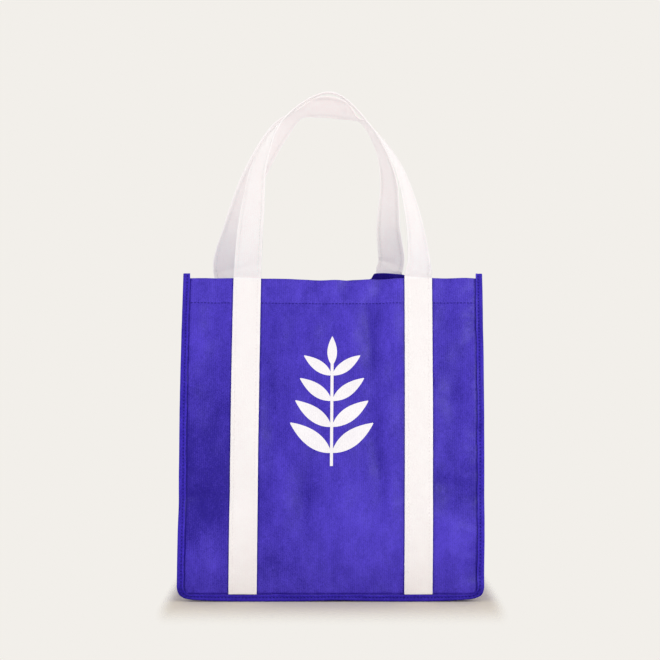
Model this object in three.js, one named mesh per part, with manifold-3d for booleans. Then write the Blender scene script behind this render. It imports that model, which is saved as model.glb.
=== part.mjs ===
// Non-woven tote bag: hemmed front and back panels, one gusset strip that makes both sides and the
// bottom, bound outer seams, two full-height straps that rise into handles, a loose base board, and a
// plain leaf sprig printed on the front.
// Millimetres. The origin is on the floor under the middle of the base: +X is the bag's right as
// seen from the front, -Y is its front and +Z is up.
import * as THREE from "three";
import { mergeVertices } from "three/addons/utils/BufferGeometryUtils.js";
import Module from "manifold-3d";

const wasm = await Module();
wasm.setup();
const { degToRad } = THREE.MathUtils;

// Bag body
const bagWidth = 305; // over the bound side seams
const panelHeight = 327; // along the cloth, from the floor to the hem fold
const bagDepth = 203; // between the panels' inner faces at the base
const mouthLean = degToRad(18); // how far each panel tips inwards at the mouth
const hemDepth = 25; // cloth folded to the inside at the mouth
const clothThickness = 0.5;
const layerGap = 0.4; // between layers that lie against each other

// Bound seams
const seamWidth = 7; // from the seam line to the binding's outer edge
const seamRelief = 1; // binding's back leg stays this far off the gusset's fold
const bindingThickness = 0.5;
const bindingEar = 5; // how far the binding's ends stand above the hem
const cornerRadius = 15; // bottom corners, at the binding's outer edge

// Straps and handles
const strapWidth = 28;
const strapThickness = 1.2;
const strapSpacing = 174; // between the middles of a strap's two legs
const handleRise = 192; // from the hem to the top of the front handle

// How the empty bag has settled: the mouth of the back panel sways to one side as seen from behind,
// and the wing outside its strap curls inwards round the gusset
const backSway = 24;
const backCurl = degToRad(103);
const creaseSoftness = 0.06; // rounding of the gusset's centre crease, as a share of its half width

// Base board
const boardThickness = 1.5;
const boardEndGap = 9; // to the seam line at each end
const boardSideGap = 5; // to the panel's inner face at each long side
const boardCornerRadius = 8;

// Printed sprig
const sprigHeight = 104; // stem, without the leaf at its tip
const sprigMiddle = 186; // height of the stem's middle on the front panel
const stemWidth = 3;
const leafPairs = 4;
const leafLength = 52; // lowest pair
const leafTaper = 0.88; // from one pair to the next above
const leafSlimness = 0.31; // width over length
const leafAngle = degToRad(36); // above level
const inkThickness = 0.2;

// Facets
const leafSteps = 7;
const sideSteps = 11; // heights between the corner and the hem
const hemSteps = 2;
const cornerSteps = 5;
const middleSteps = 3; // from a panel's middle to the outside of its strap
const wingSteps = 6; // from there to the seam line
const bottomSteps = 12;
const loopSteps = 44;

// A handle's loop, from the left leg's hem to the right leg's, seen from outside the bag:
// share of the way across, of the rise and of the way to the other panel, and the turn in degrees
// that brings the strap's inner edge outwards
const frontLoop = [
  [0, 0, 0, 0],
  [0.023, 0.349, 0.173, 26],
  [0.074, 0.647, 0.274, 58],
  [0.21, 0.864, 0.316, 85],
  [0.489, 1.008, 0.359, 86],
  [0.741, 0.81, 0.316, 86],
  [0.887, 0.609, 0.273, 70],
  [0.976, 0.334, 0.184, 54],
  [1.007, 0.08, 0.04, 30],
  [1, 0, 0, 0],
];
const backLoop = [
  [0, 0, 0, 0],
  [-0.012, 0.08, 0.04, 7],
  [0.013, 0.283, 0.157, 31],
  [0.014, 0.548, 0.25, 54],
  [0.063, 0.715, 0.306, 75],
  [0.16, 0.862, 0.328, 84],
  [0.208, 0.885, 0.331, 88],
  [0.304, 0.936, 0.329, 50],
  [0.439, 0.95, 0.336, 47],
  [0.551, 0.914, 0.347, 75],
  [0.673, 0.82, 0.332, 49],
  [0.842, 0.559, 0.283, 37],
  [0.957, 0.263, 0.171, 26],
  [1.014, 0.08, 0.04, 6],
  [1, 0, 0, 0],
];

// The back panel is the front's pattern turned half round
const front = { turn: 0, sway: 0, curl: 0, loop: frontLoop };
const back = { turn: Math.PI, sway: backSway, curl: backCurl, loop: backLoop };

// Layers through a bound seam, measured outwards from a panel's inner face
const hemmedClothInside = -clothThickness;
const gussetMiddle = hemmedClothInside - layerGap - 1.5 * clothThickness;
const gussetOutside = gussetMiddle - clothThickness / 2;
const strapMiddle = clothThickness + layerGap + strapThickness / 2;

const floorAxis = new THREE.Vector3(0, 0, 1);
const sideAxis = new THREE.Vector3(1, 0, 0);
const depthAxis = new THREE.Vector3(0, 1, 0);
const wingStart = (strapSpacing + strapWidth) / 2;
const clothEdge = bindingThickness + layerGap; // from the binding's outer edge to the cloth inside it

// A point on a panel: across it from the middle, up it from the floor, and outwards from its inner face
function onPanel(panel, across, up, out) {
  const lean = (mouthLean * up) / panelHeight;
  const bow = panelHeight / mouthLean;
  const climb = up / panelHeight;
  const sway = panel.sway * climb ** 2;
  const curl = panel.curl * climb ** 1.5;
  const wing = Math.max(0, across - wingStart);
  const wingTurn = (curl * wing) / (bagWidth / 2 - wingStart);
  const curlRadius = wingTurn > 0 ? wing / wingTurn : 0;
  const outward = new THREE.Vector3(0, -Math.cos(lean), Math.sin(lean));
  const facing = outward.clone().multiplyScalar(Math.cos(wingTurn)).addScaledVector(sideAxis, Math.sin(wingTurn));
  const flatAcross = wingTurn > 0 ? wingStart + curlRadius * Math.sin(wingTurn) : across;
  return new THREE.Vector3(
    sway + flatAcross,
    bow * (1 - Math.cos(lean)) - bagDepth / 2,
    bow * Math.sin(lean),
  )
    .addScaledVector(outward, -curlRadius * (1 - Math.cos(wingTurn)))
    .addScaledVector(facing, out)
    .applyAxisAngle(floorAxis, panel.turn);
}

// Heights along a panel's side, from the top of the bottom corner to the hem fold
const heights = [
  ...evenly(cornerRadius, panelHeight - hemDepth, sideSteps),
  ...evenly(panelHeight - hemDepth, panelHeight, hemSteps),
];
const hemStep = clothThickness; // the hem's raw edge is a step this tall

function evenly(from, to, steps) {
  return Array.from({ length: steps + 1 }, (_, i) => from + ((to - from) * i) / steps);
}

// Extra cloth on the inside at a height: one more layer within the hem
function hemLayer(up, isUpperEdge) {
  return up > panelHeight - hemDepth || isUpperEdge ? clothThickness : 0;
}

// Half the width of a panel at a height, for an outline that lies a distance inside the binding's edge
function halfWidth(up, inset) {
  const radius = cornerRadius - inset;
  const drop = Math.max(0, cornerRadius - up);
  return bagWidth / 2 - cornerRadius + Math.sqrt(Math.max(0, radius ** 2 - drop ** 2));
}

// Thickens a grid of points into a closed sheet. Rows follow the sheet's length, and a row's points run
// so that length cross width points to the sheet's inside. Each row says how far the sheet reaches
// inwards and outwards from its points.
function sheet(grid, inwards, outwards) {
  const sections = grid.map((row, i) => {
    const before = grid[Math.max(0, i - 1)];
    const after = grid[Math.min(grid.length - 1, i + 1)];
    const outer = [];
    const inner = [];
    row.forEach((point, j) => {
      const along = after[j].clone().sub(before[j]);
      const faces = [[j - 1, j], [j, j + 1]]
        .filter(([from, to]) => from >= 0 && to < row.length)
        .map(([from, to]) => along.clone().cross(row[to].clone().sub(row[from])).normalize());
      const mitre = faces[0].clone();
      if (faces.length === 2) {
        mitre.add(faces[1]).divideScalar(1 + faces[0].dot(faces[1]));
      }
      inner.push(point.clone().addScaledVector(mitre, inwards[i]));
      outer.push(point.clone().addScaledVector(mitre, -outwards[i]));
    });
    return [...outer, ...inner.reverse()];
  });
  return closedLoft(sections);
}

// Joins sections into a closed solid. A section is a strip: its first half runs along the outside and
// its second half back along the inside. Each quad is split along the diagonal nearer the bag's upright
// middle line, so layers that lie against each other are split alike and keep their gap.
function closedLoft(sections) {
  const count = sections[0].length;
  const points = sections.flat();
  const index = [];
  const toMiddle = (one, other) => {
    const halfway = points[one].clone().add(points[other]);
    return Math.hypot(halfway.x, halfway.y);
  };
  const quad = (a, b, c, d) => {
    if (toMiddle(a, c) < toMiddle(b, d)) index.push(a, b, c, a, c, d);
    else index.push(a, b, d, b, c, d);
  };
  for (let i = 0; i + 1 < sections.length; i += 1) {
    for (let j = 0; j < count; j += 1) {
      const next = (j + 1) % count;
      quad(i * count + j, i * count + next, (i + 1) * count + next, (i + 1) * count + j);
    }
  }
  const last = points.length - count;
  for (let j = 0; j + 1 < count / 2; j += 1) {
    quad(j, count - 1 - j, count - 2 - j, j + 1);
    quad(last + j, last + j + 1, last + count - 2 - j, last + count - 1 - j);
  }
  const geometry = new THREE.BufferGeometry().setFromPoints(points);
  geometry.setIndex(index);
  geometry.computeVertexNormals();
  return geometry;
}

function panelGeometry(panel) {
  const corner = evenly(0, Math.PI / 2, cornerSteps)
    .slice(0, -1)
    .map((angle) => cornerRadius - (cornerRadius - clothEdge) * Math.cos(angle));
  const ups = [...corner, ...heights];
  const hemStart = ups.indexOf(panelHeight - hemDepth);
  const rows = ups.map((up, i) => ({ up, extra: hemLayer(up, i > hemStart) }));
  rows[hemStart + 1].up += hemStep / 2;
  rows[hemStart].up -= hemStep / 2;
  const fullHalf = halfWidth(panelHeight, clothEdge);
  const rightColumns = [
    ...evenly(0, wingStart, middleSteps).slice(1),
    ...evenly(wingStart, bagWidth / 2 - seamWidth, wingSteps).slice(1),
    fullHalf,
  ];
  const columns = [...rightColumns.map((across) => -across).reverse(), 0, ...rightColumns];
  const grid = rows.map(({ up }) =>
    columns.map((across) =>
      onPanel(panel, (across * halfWidth(up, clothEdge)) / fullHalf, up, clothThickness / 2),
    ),
  );
  const inwards = rows.map(({ extra }) => clothThickness / 2 + extra);
  const outwards = rows.map(() => clothThickness / 2);
  return sheet(grid, inwards, outwards);
}

// Stops round the seam line from the left mouth, under the bag and up to the right mouth. Each has its
// place on the front panel and the direction in the panel's plane that leads out of the bag.
function seamStops(sideHeights) {
  const halfSeam = bagWidth / 2 - seamWidth;
  const seamRadius = cornerRadius - seamWidth;
  const cornerAcross = bagWidth / 2 - cornerRadius;
  const rightCorner = evenly(-Math.PI / 2, 0, cornerSteps)
    .slice(1, -1)
    .map((angle) => ({
      across: cornerAcross + seamRadius * Math.cos(angle),
      up: cornerRadius + seamRadius * Math.sin(angle),
      outAcross: Math.cos(angle),
      outUp: Math.sin(angle),
    }));
  const rightSide = sideHeights.map((up) => ({ across: halfSeam, up, outAcross: 1, outUp: 0 }));
  const right = [...rightCorner, ...rightSide];
  const left = right.map((stop) => ({ ...stop, across: -stop.across, outAcross: -stop.outAcross }));
  const bottom = evenly(-cornerAcross, cornerAcross, bottomSteps).map((across) => ({
    across,
    up: seamWidth,
    outAcross: 0,
    outUp: -1,
  }));
  return [...left.reverse(), ...bottom, ...right];
}

// A point on the flap of cloth outside the seam line, on the front panel or its partner behind
function onFlap(panel, stop, beyond, out) {
  const side = panel === back ? -1 : 1;
  const across = side * (stop.across + beyond * stop.outAcross);
  return onPanel(panel, across, stop.up + beyond * stop.outUp, out);
}

// The gusset's wall between its front and back seams: it keeps its width, so where the panels come
// together its centre crease moves into the bag
function gussetRow(stop, halfGusset) {
  const flap = seamWidth - clothEdge;
  const frontSeam = onFlap(front, stop, 0, gussetMiddle);
  const backSeam = onFlap(back, stop, 0, gussetMiddle);
  const span = backSeam.clone().sub(frontSeam);
  const inward = new THREE.Vector3(-stop.outAcross, 0, -stop.outUp).projectOnPlane(span.clone().normalize());
  inward.normalize();
  const spare = Math.sqrt(Math.max(0, halfGusset ** 2 - (span.length() / 2) ** 2));
  const foldDepth = spare * stop.outAcross ** 2; // the bottom stays flat
  const soft = (distance) => Math.hypot(distance, creaseSoftness) - creaseSoftness;
  const wall = [-0.75, -0.5, -0.25, -0.1, 0, 0.1, 0.25, 0.5, 0.75].map((share) =>
    frontSeam
      .clone()
      .addScaledVector(span, (1 + share) / 2)
      .addScaledVector(inward, foldDepth * (1 - soft(share) / soft(1))),
  );
  return [
    onFlap(front, stop, flap, gussetMiddle),
    frontSeam,
    ...wall,
    backSeam,
    onFlap(back, stop, flap, gussetMiddle),
  ];
}

function gussetGeometry() {
  const hemStart = heights.indexOf(panelHeight - hemDepth);
  const sideHeights = heights.map((up, i) => {
    if (i === hemStart) return up - hemStep / 2;
    if (i === hemStart + 1) return up + hemStep / 2;
    return up;
  });
  const stops = seamStops(sideHeights);
  const halfGusset = Math.abs(onPanel(front, 0, seamWidth, gussetMiddle).y);
  const grid = stops.map((stop) => gussetRow(stop, halfGusset));
  const inwards = stops.map(({ up }) => clothThickness / 2 + hemLayer(up, false));
  const outwards = stops.map(() => clothThickness / 2);
  return sheet(grid, inwards, outwards);
}

// The binding is a tape folded over the flaps of a panel and the gusset. Its middle is given as distance
// beyond the seam line and outwards from the panel's inner face.
function bindingGeometry(panel) {
  const half = bindingThickness / 2;
  const outerLeg = clothThickness + layerGap + half;
  const innerLeg = gussetOutside - layerGap - half;
  const fold = seamWidth - half;
  const folded = [
    [seamRelief, innerLeg],
    [fold, innerLeg],
    [fold, outerLeg],
    [0, outerLeg],
  ];
  const stops = seamStops([...heights.filter((up, i) => up !== heights[i - 1]), panelHeight + bindingEar]);
  const order = panel === back ? stops.reverse() : stops;
  const grid = order.map((stop) => folded.map(([beyond, out]) => onFlap(panel, stop, beyond, out)));
  const halves = order.map(() => half);
  return sheet(grid, halves, halves);
}

// A strap is sewn up the panel from the bottom binding to the hem, crosses as the handle's loop and
// comes down the panel again. Each row runs from the strap's outer edge to its inner edge.
function strapGeometry(panel) {
  const legTop = strapSpacing / 2;
  const sewn = [seamWidth + layerGap, ...heights.filter((up, i) => up !== heights[i - 1])];
  const widthShares = [-0.5, 0, 0.5];
  const leg = (side) =>
    sewn.map((up) =>
      widthShares.map((share) => onPanel(panel, side * (legTop - share * strapWidth), up, strapMiddle)),
    );
  const rows = [...leg(-1), ...loopRows(panel, legTop, widthShares), ...leg(1).reverse()];
  const half = rows.map(() => strapThickness / 2);
  return sheet(rows, half, half);
}

function loopRows(panel, legTop, widthShares) {
  const leadIn = hemDepth / 2;
  const leftHem = onPanel(panel, -legTop, panelHeight, strapMiddle);
  const rightHem = onPanel(panel, legTop, panelHeight, strapMiddle);
  const mouthDepth = 2 * Math.abs(onPanel(front, 0, panelHeight, strapMiddle).y);
  const towardsMouth = depthAxis.clone().applyAxisAngle(floorAxis, panel.turn);
  const stations = panel.loop.map(([across, rise, depth]) =>
    leftHem
      .clone()
      .lerp(rightHem, across)
      .addScaledVector(floorAxis, rise * handleRise)
      .addScaledVector(towardsMouth, depth * mouthDepth),
  );
  const middle = new THREE.CatmullRomCurve3(
    [
      onPanel(panel, -legTop, panelHeight - leadIn, strapMiddle),
      ...stations,
      onPanel(panel, legTop, panelHeight - leadIn, strapMiddle),
    ],
    false,
    "centripetal",
  );
  const spans = stations.length + 1;
  const turns = new THREE.SplineCurve(panel.loop.map(([, , , turn], i) => new THREE.Vector2(i, turn)));
  return evenly(0, 1, loopSteps)
    .slice(1, -1)
    .map((share) => {
      const place = (1 + share * (stations.length - 1)) / spans;
      const point = middle.getPoint(place);
      const along = middle.getTangent(place);
      const turn = degToRad(turns.getPoint(share).y);
      const outwards = towardsMouth.clone().negate().projectOnPlane(along).normalize();
      const inwards = along.clone().cross(outwards);
      const across = inwards.multiplyScalar(Math.cos(turn)).addScaledVector(outwards, Math.sin(turn));
      return widthShares.map((width) => point.clone().addScaledVector(across, width * strapWidth));
    });
}

// The board is loose: it lies on the bottom of the gusset
function boardGeometry() {
  const length = bagWidth - 2 * (seamWidth + boardEndGap);
  const width = bagDepth - 2 * boardSideGap;
  const x = length / 2 - boardCornerRadius;
  const y = width / 2 - boardCornerRadius;
  const outline = new THREE.Shape();
  outline.absarc(x, y, boardCornerRadius, 0, Math.PI / 2);
  outline.absarc(-x, y, boardCornerRadius, Math.PI / 2, Math.PI);
  outline.absarc(-x, -y, boardCornerRadius, Math.PI, 1.5 * Math.PI);
  outline.absarc(x, -y, boardCornerRadius, 1.5 * Math.PI, 2 * Math.PI);
  return new THREE.ExtrudeGeometry(outline, {
    depth: boardThickness,
    bevelEnabled: false,
    curveSegments: cornerSteps,
  });
}

// A flat closed geometry as a solid that can be joined with others
function asSolid(geometry) {
  geometry.deleteAttribute("normal");
  geometry.deleteAttribute("uv");
  const merged = mergeVertices(geometry);
  return new wasm.Manifold(
    new wasm.Mesh({
      numProp: 3,
      vertProperties: merged.attributes.position.array,
      triVerts: new Uint32Array(merged.index.array),
    }),
  );
}

function leaf(length, angle, height) {
  const bulge = length * leafSlimness;
  const outline = new THREE.Shape();
  outline.quadraticCurveTo(length * 0.4, -bulge, length, 0);
  outline.quadraticCurveTo(length * 0.4, bulge, 0, 0);
  const blade = new THREE.ExtrudeGeometry(outline, {
    depth: inkThickness,
    bevelEnabled: false,
    curveSegments: leafSteps,
  });
  return asSolid(blade.rotateZ(angle).translate(0, height, 0));
}

// The sprig is drawn flat, across and up, and then laid on the front panel
function printGeometry() {
  const stem = new THREE.BoxGeometry(stemWidth, sprigHeight, inkThickness, 1, leafPairs, 1);
  let sprig = asSolid(stem.translate(0, 0, inkThickness / 2));
  for (let pair = 0; pair < leafPairs; pair += 1) {
    const length = leafLength * leafTaper ** pair;
    const height = sprigHeight * ((pair + 0.5) / leafPairs - 0.5);
    sprig = sprig.add(leaf(length, leafAngle, height)).add(leaf(length, Math.PI - leafAngle, height));
  }
  const tip = leafLength * leafTaper ** leafPairs;
  sprig = sprig.add(leaf(tip, Math.PI / 2, sprigHeight / 2 - stemWidth));
  const { vertProperties, triVerts } = sprig.getMesh();
  const points = [];
  for (let i = 0; i < vertProperties.length; i += 3) {
    const [across, up, out] = vertProperties.slice(i, i + 3);
    points.push(onPanel(front, across, sprigMiddle + up, clothThickness + layerGap + out));
  }
  const geometry = new THREE.BufferGeometry().setFromPoints(points);
  geometry.setIndex(Array.from(triVerts));
  geometry.computeVertexNormals();
  return geometry;
}

const bodyCloth = new THREE.MeshStandardMaterial({ color: 0x4a3ab2, roughness: 0.75, metalness: 0 });
const bindingCloth = new THREE.MeshStandardMaterial({ color: 0x3f2fae, roughness: 0.7, metalness: 0 });
const strapCloth = new THREE.MeshStandardMaterial({ color: 0xf7f3f1, roughness: 0.8, metalness: 0 });
const printInk = new THREE.MeshStandardMaterial({ color: 0xf4f1f2, roughness: 0.6, metalness: 0 });
const boardPlastic = new THREE.MeshStandardMaterial({ color: 0x35353a, roughness: 0.5, metalness: 0 });

function piece(name, geometry, material) {
  const mesh = new THREE.Mesh(geometry, material);
  mesh.name = name;
  return mesh;
}

const board = piece("base_board", boardGeometry(), boardPlastic);
board.position.z = seamWidth + clothThickness / 2 + layerGap;

const toteBag = new THREE.Group();
toteBag.add(
  piece("front_panel", panelGeometry(front), bodyCloth),
  piece("back_panel", panelGeometry(back), bodyCloth),
  piece("gusset_strip", gussetGeometry(), bodyCloth),
  piece("front_binding", bindingGeometry(front), bindingCloth),
  piece("back_binding", bindingGeometry(back), bindingCloth),
  piece("front_strap", strapGeometry(front), strapCloth),
  piece("back_strap", strapGeometry(back), strapCloth),
  piece("front_print", printGeometry(), printInk),
  board,
);

export default toteBag;
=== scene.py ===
# %% [markdown]
# # A non-woven tote bag
# A tote like this is sewn from flat cuts of bonded polypropylene cloth: two panels, one long gusset
# strip, two binding tapes and two straps. This lesson cuts each of them as a flat grid, hangs every
# point where the standing bag holds it, gives the cloth its thickness, and then sews and prints it.

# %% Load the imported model
import math

import bpy
import numpy as np
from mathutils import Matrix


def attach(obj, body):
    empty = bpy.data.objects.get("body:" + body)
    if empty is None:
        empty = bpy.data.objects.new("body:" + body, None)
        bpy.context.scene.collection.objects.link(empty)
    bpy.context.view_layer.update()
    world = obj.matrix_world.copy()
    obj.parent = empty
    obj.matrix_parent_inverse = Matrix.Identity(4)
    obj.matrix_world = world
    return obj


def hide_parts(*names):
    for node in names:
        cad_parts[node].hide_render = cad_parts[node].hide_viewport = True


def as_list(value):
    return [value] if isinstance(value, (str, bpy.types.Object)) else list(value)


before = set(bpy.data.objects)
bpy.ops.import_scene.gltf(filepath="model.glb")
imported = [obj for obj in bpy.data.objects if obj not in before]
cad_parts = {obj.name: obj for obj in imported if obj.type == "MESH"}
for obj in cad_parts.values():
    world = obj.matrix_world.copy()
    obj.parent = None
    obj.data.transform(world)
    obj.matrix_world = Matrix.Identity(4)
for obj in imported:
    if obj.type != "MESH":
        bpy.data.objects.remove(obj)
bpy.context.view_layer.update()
bpy.ops.object.select_all(action="DESELECT")
scene = bpy.context.scene
print("CAD nodes:", sorted(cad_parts))

# %% [markdown]
# ## Sizes
# All sizes are in metres and are the same as the solids'. They are kept together here because the
# cloth, the tapes and the stitches are all laid out from them.

# %% Sizes of the bag
MM = 0.001
BAG_WIDTH = 305 * MM
BAG_DEPTH = 203 * MM
PANEL_HEIGHT = 327 * MM
MOUTH_LEAN = math.radians(18)
HEM_DEPTH = 28 * MM
HEM_SEAM = 26.4 * MM
CLOTH = 0.5 * MM
GAP = 0.4 * MM
SEAM_WIDTH = 7 * MM
SEAM_RELIEF = 1 * MM
TAPE = 0.5 * MM
EAR = 5 * MM
CORNER = 15 * MM
STRAP_WIDTH = 28 * MM
STRAP_THICKNESS = 1.2 * MM
STRAP_SPACING = 174 * MM
HANDLE_RISE = 192 * MM
WING_START = (STRAP_SPACING + STRAP_WIDTH) / 2
CLOTH_EDGE = TAPE + GAP
GUSSET_MIDDLE = -CLOTH - GAP - 1.5 * CLOTH
GUSSET_OUTSIDE = GUSSET_MIDDLE - CLOTH / 2
STRAP_MIDDLE = CLOTH + GAP + STRAP_THICKNESS / 2
LEG_START = SEAM_WIDTH + GAP
print("bag", BAG_WIDTH, "x", PANEL_HEIGHT, "x", BAG_DEPTH, "m")

# %% [markdown]
# ## How a panel stands
# The empty bag has not fallen flat: its base keeps the panels apart, and they lean together towards
# the mouth in one gentle bow. The cloth also remembers how it was packed and handled, so it is full of
# soft dents. They are listed with the large ones first and then the small ones between them.

# %% Dents and ripples of both panels
# Each dent: across, up, half width, half height in millimetres, tilt in degrees, depth in millimetres
FRONT_DENTS = [
    (38, 262, 8, 46, 3, -2.4),
    (18, 268, 10, 34, 0, 1.8),
    (60, 280, 9, 30, 0, 1.4),
    (-62, 205, 12, 74, 0, -2.4),
    (-48, 112, 10, 34, 4, 2.2),
    (-26, 112, 9, 36, -4, -2.4),
    (14, 104, 12, 26, -6, 2.2),
    (46, 150, 8, 48, 4, -2.4),
    (60, 108, 8, 26, 0, 1.8),
    (34, 74, 46, 40, -10, 3.0),
    (-60, 34, 16, 24, 0, -1.8),
    (-112, 176, 18, 62, 6, -3.2),
    (-128, 100, 40, 16, 16, -6.0),
    (-150, 120, 40, 70, 10, -7.0),
    (-136, 262, 14, 26, 0, 1.8),
    (-126, 48, 22, 24, 0, 2.6),
    (122, 66, 28, 34, 0, 4.2),
    (118, 116, 26, 9, -4, -2.0),
    (152, 30, 20, 24, 0, -3.0),
    (120, 236, 12, 60, 4, -1.8),
    (147, 276, 8, 16, 0, -2.6),
    (138, 12, 12, 9, 30, 2.2),
]
BACK_DENTS = [
    (-40, 240, 12, 40, 6, 3.0),
    (20, 200, 10, 46, -10, -2.8),
    (52, 130, 12, 30, 12, 2.6),
    (-56, 140, 16, 26, -14, -2.8),
    (-140, 100, 36, 50, 6, -7.0),
    (150, 70, 40, 44, 0, -6.0),
    (-10, 60, 44, 24, 8, 2.0),
    (-132, 230, 10, 30, 0, 1.8),
]
# Ripples of a hem: middle across, half width, wave length, height, in millimetres
FRONT_RIPPLE = (26, 46, 34, 1.5)
BACK_RIPPLE = (-10, 60, 44, 1.6)

FRONT = {
    "behind": False,
    "lean": (-1.3 * MM, 2.4 * MM),
    "sway": 0,
    "curl": 0,
    "dents": FRONT_DENTS,
    "ripple": FRONT_RIPPLE,
    "seed": 3,
}
BACK = {
    "behind": True,
    "lean": (0, 0),
    "sway": 24 * MM,
    "curl": math.radians(103),
    "dents": BACK_DENTS,
    "ripple": BACK_RIPPLE,
    "seed": 8,
}
print(len(FRONT_DENTS), "dents in front and", len(BACK_DENTS), "behind")

# %% [markdown]
# ## Relief of the cloth
# All unevenness is a height over the smooth panel, so its parts can simply be added up: a level crease
# where the bottom was folded up for packing, the dents, the ripples of the hem, small waves all over the
# cloth, and puckers beside the bound seams. Near the floor the seam holds the cloth flat.

# %% Relief
PACKING_CREASE = 103 * MM
CREASE_DEPTH = 4.2 * MM
CREASE_REACH = 26 * MM
CREASE_BLUNTNESS = 0.06
CREASE_BETWEEN_STRAPS = 0.3
RIPPLE_REACH = 30 * MM
CRUMPLE_WAVES = 26
CRUMPLE_LENGTHS = (12, 48)
CRUMPLE_SLANT = 0.75
CRUMPLE_SLOPE = 0.026
PUCKER = 0.3 * MM
PUCKER_LINE = BAG_WIDTH / 2 - 14 * MM
PUCKER_REACH = 6 * MM
FLAT_FOOT = 22 * MM


def bell(distance):
    return np.exp(-(distance**2))


def soft_step(distance):
    return 0.5 + 0.5 * np.tanh(distance)


def crumple(across, up, seed):
    """Small all-over unevenness, as many shallow waves that mostly run up the cloth."""
    random = np.random.default_rng(seed)
    out = np.zeros_like(across)
    for _ in range(CRUMPLE_WAVES):
        wave = random.uniform(*CRUMPLE_LENGTHS) * MM
        heading = random.normal(0, CRUMPLE_SLANT)
        phase = random.uniform(0, 2 * math.pi)
        travel = across * math.cos(heading) + up * math.sin(heading)
        height = CRUMPLE_SLOPE * wave / (2 * math.pi)
        out = out + height * np.sin(2 * math.pi * travel / wave + phase)
    return out


def dented(panel, across, up):
    """How far creases and dents move a panel's cloth outwards, without its small unevenness."""
    from_crease = np.hypot((up - PACKING_CREASE) / CREASE_REACH, CREASE_BLUNTNESS)
    at_wings = soft_step((np.abs(across) - WING_START) / (10 * MM))
    strength = CREASE_BETWEEN_STRAPS + (1 - CREASE_BETWEEN_STRAPS) * at_wings
    out = -CREASE_DEPTH * strength * np.exp(-from_crease)
    for middle, height, half_width, half_height, tilt, depth in panel["dents"]:
        turn = math.radians(tilt)
        x = across - middle * MM
        z = up - height * MM
        sideways = (x * math.cos(turn) + z * math.sin(turn)) / (half_width * MM)
        lengthways = (z * math.cos(turn) - x * math.sin(turn)) / (half_height * MM)
        out = out + depth * MM * bell(sideways) * bell(lengthways)
    middle, reach, wave, height = (value * MM for value in panel["ripple"])
    near_hem = bell((PANEL_HEIGHT - up) / RIPPLE_REACH)
    ripple = np.sin(2 * math.pi * (across - middle) / wave) * bell((across - middle) / reach)
    return out + height * ripple * near_hem


def relief(panel, across, up):
    """All unevenness of a panel's cloth, as a distance outwards."""
    near_seam = bell((np.abs(across) - PUCKER_LINE) / PUCKER_REACH)
    puckers = np.sin(up / (2.1 * MM)) + np.sin(up / (3.7 * MM) + 2)
    out = dented(panel, across, up) + crumple(across, up, panel["seed"]) + PUCKER * puckers * near_seam
    return out * np.clip(up / FLAT_FOOT, 0, 1)


middle_relief = float(relief(FRONT, np.array(0.0), np.array(PANEL_HEIGHT / 2)))
print("the front's middle lies", round(middle_relief / MM, 2), "mm off the smooth panel")

# %% [markdown]
# ## A point on a panel
# One function puts a point on a panel, and everything that is sewn to the panel goes through it, so the
# layers keep together however the cloth is dented. It also lets the front hem sag between its straps,
# pulls the back hem up at one strap, and curls the bound edge under the front a little off the floor.

# %% Panel surface
HEM_HOLD = 9
FRONT_SAG = 2.4 * MM
BACK_LIFT = 6.2 * MM
BACK_SLOPE = 2.6 * MM
BACK_DROP = 3.5 * MM
LEFT_CURL = 2.0 * MM
RIGHT_CURL = 2.6 * MM
MIDDLE_CURL = 1.2 * MM


def hem_shift(panel, across):
    """How far a hem is pulled up at a place across the panel. A plain panel has none of it."""
    if panel.get("plain"):
        return np.zeros_like(across)
    if not panel["behind"]:
        return -FRONT_SAG * bell((across - 4 * MM) / (52 * MM))
    lifted = soft_step((across + 108 * MM) / (5 * MM)) - soft_step((across + 69 * MM) / (1.8 * MM))
    slope = bell((across + 78 * MM) / (26 * MM))
    dropped = soft_step((-across - 136 * MM) / (6 * MM))
    return BACK_LIFT * lifted + BACK_SLOPE * slope - BACK_DROP * dropped


def foot_lift(across):
    """How far the bound edge under the front curls up from the floor: at the corners and in the middle."""
    to_corner = np.clip((np.abs(across) - 85 * MM) / (55 * MM), 0, 1) ** 2
    at_corner = np.where(across > 0, RIGHT_CURL, LEFT_CURL) * to_corner
    return at_corner + MIDDLE_CURL * bell((across - 8 * MM) / (30 * MM))


def on_panel(panel, across, up, out):
    """Points on a panel: across it from the middle, up it from the floor, outwards from its inner face."""
    across, up, out = np.broadcast_arrays(*(np.asarray(v, float) for v in (across, up, out)))
    out = out + relief(panel, across, up)
    up = up + hem_shift(panel, across) * np.clip(up / PANEL_HEIGHT, 0, 1) ** HEM_HOLD
    if not panel["behind"]:
        up = up + foot_lift(across) * np.clip(1 - up / SEAM_WIDTH, 0, 1)
    lean = MOUTH_LEAN * up / PANEL_HEIGHT
    bow = PANEL_HEIGHT / MOUTH_LEAN
    climb = np.clip(up / PANEL_HEIGHT, 0, None)
    wing = np.maximum(0, across - WING_START)
    turn = np.maximum(panel["curl"] * climb**1.5 * wing / (BAG_WIDTH / 2 - WING_START), 1e-9)
    radius = wing / turn
    curled = np.where(wing > 0, WING_START + radius * np.sin(turn), across)
    reach = out * np.cos(turn) - radius * (1 - np.cos(turn))
    at_foot, to_mouth = panel["lean"]
    sideways = at_foot + to_mouth * climb + panel["sway"] * climb**2
    points = np.stack(
        [
            sideways + curled + out * np.where(wing > 0, np.sin(turn), 0),
            bow * (1 - np.cos(lean)) - BAG_DEPTH / 2 - reach * np.cos(lean),
            bow * np.sin(lean) + reach * np.sin(lean),
        ],
        axis=-1,
    )
    if panel["behind"]:
        points[..., :2] *= -1
    return points


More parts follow.
